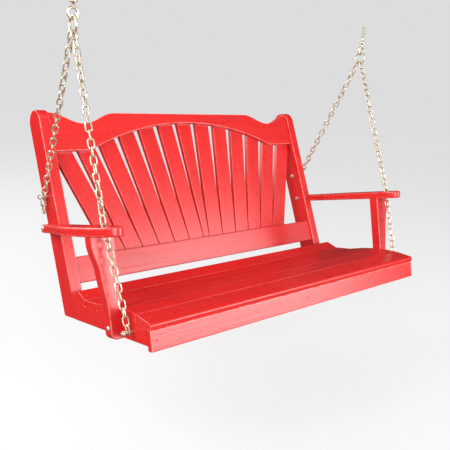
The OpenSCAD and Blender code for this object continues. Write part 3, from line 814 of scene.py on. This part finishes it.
def screw_head(bm, place, radius, index):
    """Countersunk head with an eased rim and a cross recess partly filled with paint."""
    def row(k):
        r = radius * HEAD_FLAT * (1 - k / HEAD_RINGS)
        spin = HEAD_SPIN * index
        return lambda turn: (max(r, MIDDLE_R), -CROSS_DEPTH * cross_recess(turn + spin, r))
    rows = [(0.0, -CONE_L), (radius * CONE_R, -CONE_L), (radius, -LOW_EASE)]
    rows += [(radius * TOP_RIM, -TOP_EASE)] + [row(k) for k in range(HEAD_RINGS + 1)]
    turned(bm, place, rows, steps=HEX_STEPS, wear_and_highlight=(2, 3))


def screw_axis(points):
    """Middle of the head's top, the way it faces, its radius and the screw's length."""
    axis = (max(points, key=lambda p: (p - points[0]).length) - points[0]).normalized()
    for _ in range(SCREW_ROUNDS):
        low, high = span(points, axis)
        quarter = (high - low) / 4
        top = middle([p for p in points if p.dot(axis) > high - quarter])
        tip = middle([p for p in points if p.dot(axis) < low + quarter])
        axis = (top - tip).normalized()
    low, high = span(points, axis)
    top += axis * (high - top.dot(axis))
    tip += axis * (low - tip.dot(axis))
    ends = []
    for hub, way in ((top, axis), (tip, -axis)):
        rim = [p for p in points if abs((p - hub).dot(axis)) < RIM_BAND]
        ends.append((max((p - hub).length for p in rim), hub, way))
    radius, hub, way = max(ends, key=lambda e: e[0])
    return hub, way, radius, high - low


def screws(node):
    """Countersunk wood screws with a tapered thread."""
    bm = bmesh.new()
    for index, points in enumerate(islands(node)):
        hub, way, radius, length = screw_axis(points)
        hint = Z_AXIS if abs(way.z) < STEEP else X_AXIS
        screw_head(bm, frame_at(hub, way, hint), radius, index)
        core, crest = radius * CORE_SHARE, radius * SHANK_SHARE
        plain_end = length * PLAIN_SHARE
        rows = [(0.0, SHANK_START), (crest, SHANK_START), (radius * NECK_SHARE, plain_end)]
        rows += screw_thread(
            core, crest, SCREW_PITCH, plain_end, length, SCREW_RIDGE_STEPS, SCREW_TAPER
        )
        turned(bm, frame_at(hub, -way, hint), rows, steps=SCREW_STEPS)
    finish_piece(node + ".turned", bm, "painted_screw", node)


for name in ("seat_screws", "back_screws", "apron_screws", "arm_screws", "lap_screws"):
    screws(name)


# ---------------------------------------------------------------- chain
WIRE_STEPS = 20             # points round the wire
WELD = 0.0003               # how far a weld stands proud
WELD_L = 0.0016             # how far it spreads along the wire
END_BAND = 0.002            # points this near a link's end belong to its crown
AXIS_ROUNDS = 6             # of finding a link's long axis
TWIST_TESTS = range(-12, 13)    # degrees tried for the plane of a link
CROWN_STEPS = 12
LEG_STEPS = 9


def principal_axes(points):
    """Middle, long axis and width axis of a link, from its box turned to fit."""
    centre = middle(points)
    far = max(points, key=lambda p: (p - centre).length)
    other = max(points, key=lambda p: (p - far).length)
    # the outermost points are spread over the crowns, so the middle of each end is taken
    axis = (far - other).normalized()
    for _ in range(AXIS_ROUNDS):
        low, high = span(points, axis)
        top = middle([p for p in points if p.dot(axis) > high - END_BAND])
        bottom = middle([p for p in points if p.dot(axis) < low + END_BAND])
        axis = (top - bottom).normalized()
    flat = [p - centre - (p - centre).dot(axis) * axis for p in points]
    wide = max(flat, key=lambda p: p.length).normalized()
    best = min(
        (math.radians(a) for a in TWIST_TESTS),
        key=lambda a: spread_across(flat, axis, wide, a),
    )
    return centre, axis, Matrix.Rotation(best, 3, axis) @ wide


def spread_across(flat, long_axis, wide, angle):
    """Extent of the link across its plane when its width is turned by angle."""
    low, high = span(flat, long_axis.cross(Matrix.Rotation(angle, 3, long_axis) @ wide))
    return high - low


def swept(bm, centres, sides, normals, radii):
    """A closed tube through centres; sides and normals span its cross-sections."""
    rings = []
    for c, u, v, r in zip(centres, sides, normals, radii):
        ring = []
        for k in range(WIRE_STEPS):
            a = 2 * math.pi * k / WIRE_STEPS
            ring.append(bm.verts.new(c + r * (math.cos(a) * u + math.sin(a) * v)))
        rings.append(ring)
    for i, ring in enumerate(rings):
        after = rings[(i + 1) % len(rings)]
        for k in range(WIRE_STEPS):
            n = (k + 1) % WIRE_STEPS
            bm.faces.new((ring[k], ring[n], after[n], after[k])).smooth = True


def weld_bulge(offset, length):
    """How far a weld stands proud at that distance from its middle."""
    return WELD * math.exp(-((offset / length) ** 2))


def link(bm, points, weld_side):
    """A welded link with round bends, drawn where the CAD link is.

    weld_side, 1 or -1, picks the leg that carries the weld.
    """
    centre, long_axis, wide = principal_axes(points)
    short = long_axis.cross(wide)
    halves = []
    for axis in (long_axis, wide, short):
        low, high = span([p - centre for p in points], axis)
        halves.append((high - low) / 2)
        centre = centre + axis * (high + low) / 2
    half_l, half_w, wire = halves
    bend = half_w - wire
    leg = half_l - half_w
    path = []
    for end in (1, -1):
        for k in range(CROWN_STEPS + 1):
            a = math.pi * k / CROWN_STEPS
            out = end * (math.cos(a) * wide + math.sin(a) * long_axis)
            path.append((centre + end * leg * long_axis + bend * out, out))
        for k in range(1, LEG_STEPS):
            t = 1 - 2 * k / LEG_STEPS
            out = -end * wide
            path.append((centre + bend * out + end * leg * t * long_axis, out))
    radii = []
    for point, out in path:
        offset = (point - centre).dot(long_axis)
        welded = abs(offset) < leg and out.dot(wide) * weld_side > 0
        radii.append(wire + (weld_bulge(offset, WELD_L) if welded else 0.0))
    swept(bm, [p for p, _ in path], [o for _, o in path], [short] * len(path), radii)


def chain(node):
    """All links of a chain, their welds on alternate sides."""
    bm = bmesh.new()
    for index, points in enumerate(islands(node)):
        link(bm, points, 1 if index % 2 else -1)
    finish_piece(node + ".links", bm, "zinc_chain", node)


for side in SIDES:
    chain("front_chain_" + side)
    chain("rear_chain_" + side)
    chain(side + "_tail_link_1")
    chain(side + "_tail_link_2")


# ---------------------------------------------------------------- rings and eyes
HOOP_STEPS = 64
RING_WELD_AT = 0.6          # radians round the ring
RING_WELD_L = 0.0022        # how far the weld spreads along the wire
EYE_WIRE_R = 0.004
EYE_INNER_R = 0.011
NECK_IN = 0.002             # how deep the neck starts in the eye's wire
NECK_FLARE = 0.0005         # how much wider it is there
NECK_FLARE_L = 0.004        # and how far above the wire the flare ends
FLANGE_R = 0.012
FLANGE_T = 0.004
FLANGE_EASE = 0.0008
SHANK_R = 0.005
PLAIN_SHANK_END = 0.014     # above the ceiling plane, like the thread's start
LAG_START = 0.0145
LAG_PITCH = 0.0042
LAG_CORE = 0.68             # of the shank's radius
LAG_TAPER = 0.009           # length of the gimlet point
LAG_RIDGE_STEPS = 8
LAG_TIP = 0.0002            # from the thread's last row to the tip


def hoop(bm, centre, radius, first, second, wire):
    """A closed ring of wire round centre, in the plane of the axes first and second.

    wire gives the wire's radius for a turn in radians from first towards second.
    """
    turns = [2 * math.pi * k / HOOP_STEPS for k in range(HOOP_STEPS)]
    outs = [math.cos(a) * first + math.sin(a) * second for a in turns]
    centres = [centre + radius * out for out in outs]
    normals = [second.cross(first)] * HOOP_STEPS
    swept(bm, centres, outs, normals, [wire(a) for a in turns])


def ring(node):
    """A welded steel ring standing across X."""
    bm = bmesh.new()
    low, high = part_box(node)
    wire = (high.x - low.x) / 2
    radius = (high.z - low.z) / 2 - wire

    def wire_at(turn):
        from_weld = radius * ((turn - RING_WELD_AT + math.pi) % (2 * math.pi) - math.pi)
        return wire + weld_bulge(from_weld, RING_WELD_L)

    hoop(bm, (low + high) / 2, radius, Y_AXIS, Z_AXIS, wire_at)
    finish_piece(node + ".welded", bm, "zinc_chain", node)


def eye(node):
    """Screw eye: closed eye, neck, flange and a lag thread ending in a gimlet point."""
    bm = bmesh.new()
    low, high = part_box(node)
    x = (low.x + high.x) / 2
    eye_r = EYE_INNER_R + EYE_WIRE_R
    hub = Vector((x, 0, low.z + EYE_WIRE_R + eye_r))
    hoop(bm, hub, eye_r, X_AXIS, Z_AXIS, lambda turn: EYE_WIRE_R)
    root = hub.z + eye_r
    ease = FLANGE_EASE
    rows = [
        (0.0, root - NECK_IN), (EYE_WIRE_R + NECK_FLARE, root - NECK_IN / 2),
        (EYE_WIRE_R, root + NECK_FLARE_L), (EYE_WIRE_R, -FLANGE_T),
        (FLANGE_R - ease, -FLANGE_T), (FLANGE_R, -FLANGE_T + ease), (FLANGE_R, -ease),
        (FLANGE_R - ease, 0.0), (SHANK_R, 0.0), (SHANK_R, PLAIN_SHANK_END),
    ]
    rows += screw_thread(
        SHANK_R * LAG_CORE, SHANK_R, LAG_PITCH, LAG_START, high.z - LAG_TIP,
        LAG_RIDGE_STEPS, LAG_TAPER,
    )
    rows.append((0.0, high.z))
    turned(bm, Matrix.Translation((x, 0, 0)), rows, wear_and_highlight=(4, 6))
    finish_piece(node + ".forged", bm, "zinc_chain", node)


for side in SIDES:
    ring(side + "_ring")
    eye(side + "_ceiling_eye")


# ---------------------------------------------------------------- stage
FLOOR_Z = -1.4
FLOOR_HALF = 20             # half the floor's side
BACKDROP = 0.72             # grey of the backdrop as the camera sees it
AMBIENT = 0.42              # what it sends to the seat as soft light
MIRRORED = 0.07             # and what it shows in the paint's sheen
FLOOR_GREY = 0.25
FLOOR_MIRRORED = 0.05       # its grey in the paint's sheen
FLOOR_SHOWN = 0.62          # added to the floor where the camera sees it
SEAT_AT = Vector((0, 0, -0.8))


def stage_floor():
    """A pale floor that the camera sees lighter than the seat's paint mirrors it."""
    mesh = bpy.data.meshes.new("floor")
    bm = bmesh.new()
    bmesh.ops.create_grid(bm, size=FLOOR_HALF)
    bm.to_mesh(mesh)
    bm.free()
    floor = new_object("floor", mesh)
    floor.location.z = FLOOR_Z
    pale = Tree("pale")
    path = pale.tree.nodes.new("ShaderNodeLightPath").outputs
    camera_ray = path["Is Camera Ray"]
    greys = [(g, g, g) for g in (FLOOR_GREY, FLOOR_MIRRORED)]
    pale.set(Base_Color=pale.mix(path["Is Glossy Ray"], *greys), Roughness=0.9)
    pale.set(Specular_IOR_Level=0.1, Emission_Color=(1.0, 1.0, 1.0))
    pale.set(Emission_Strength=pale.maths("MULTIPLY", camera_ray, FLOOR_SHOWN))
    mesh.materials.append(pale.material)


def soft_light(name, at, width, height, watts):
    """A rectangular studio light at that place, turned to the seat."""
    data = bpy.data.lights.new(name, "AREA")
    data.shape = "RECTANGLE"
    data.size = width
    data.size_y = height
    data.energy = watts
    turn = (SEAT_AT - Vector(at)).to_track_quat("-Z", "Y")
    new_object(name, data).matrix_world = Matrix.Translation(at) @ turn.to_matrix().to_4x4()


def backdrop():
    """A grey surround, with a value of its own for each kind of ray."""
    world = bpy.data.worlds.new("world")
    bpy.context.scene.world = world
    world.use_nodes = True
    tree = world.node_tree
    path = tree.nodes.new("ShaderNodeLightPath")
    shown = None
    # sockets 0, 2, 3 and output 0 are the mix node's factor, values and result
    for ray, grey in (("Is Glossy Ray", MIRRORED), ("Is Camera Ray", BACKDROP)):
        mix = tree.nodes.new("ShaderNodeMix")
        mix.data_type = "FLOAT"
        tree.links.new(path.outputs[ray], mix.inputs[0])
        if shown is None:
            mix.inputs[2].default_value = AMBIENT
        else:
            tree.links.new(shown, mix.inputs[2])
        mix.inputs[3].default_value = grey
        shown = mix.outputs[0]
    background = tree.nodes["Background"]
    background.inputs["Color"].default_value = (1, 1, 1, 1)
    tree.links.new(shown, background.inputs["Strength"])


stage_floor()
backdrop()
# name, place, width, height, watts
soft_light("key", (1.7, -3.8, 0.0), 3.7, 2.6, 194)
soft_light("fill", (-3.3, -2.9, 0.45), 1.8, 2.2, 110)
soft_light("side", (-3.1, 0.2, 1.2), 2.0, 2.0, 95)
soft_light("rear", (-1.8, 3.2, 1.0), 2.6, 2.0, 70)
soft_light("top", (-0.3, -0.6, 2.4), 3.0, 2.0, 14)
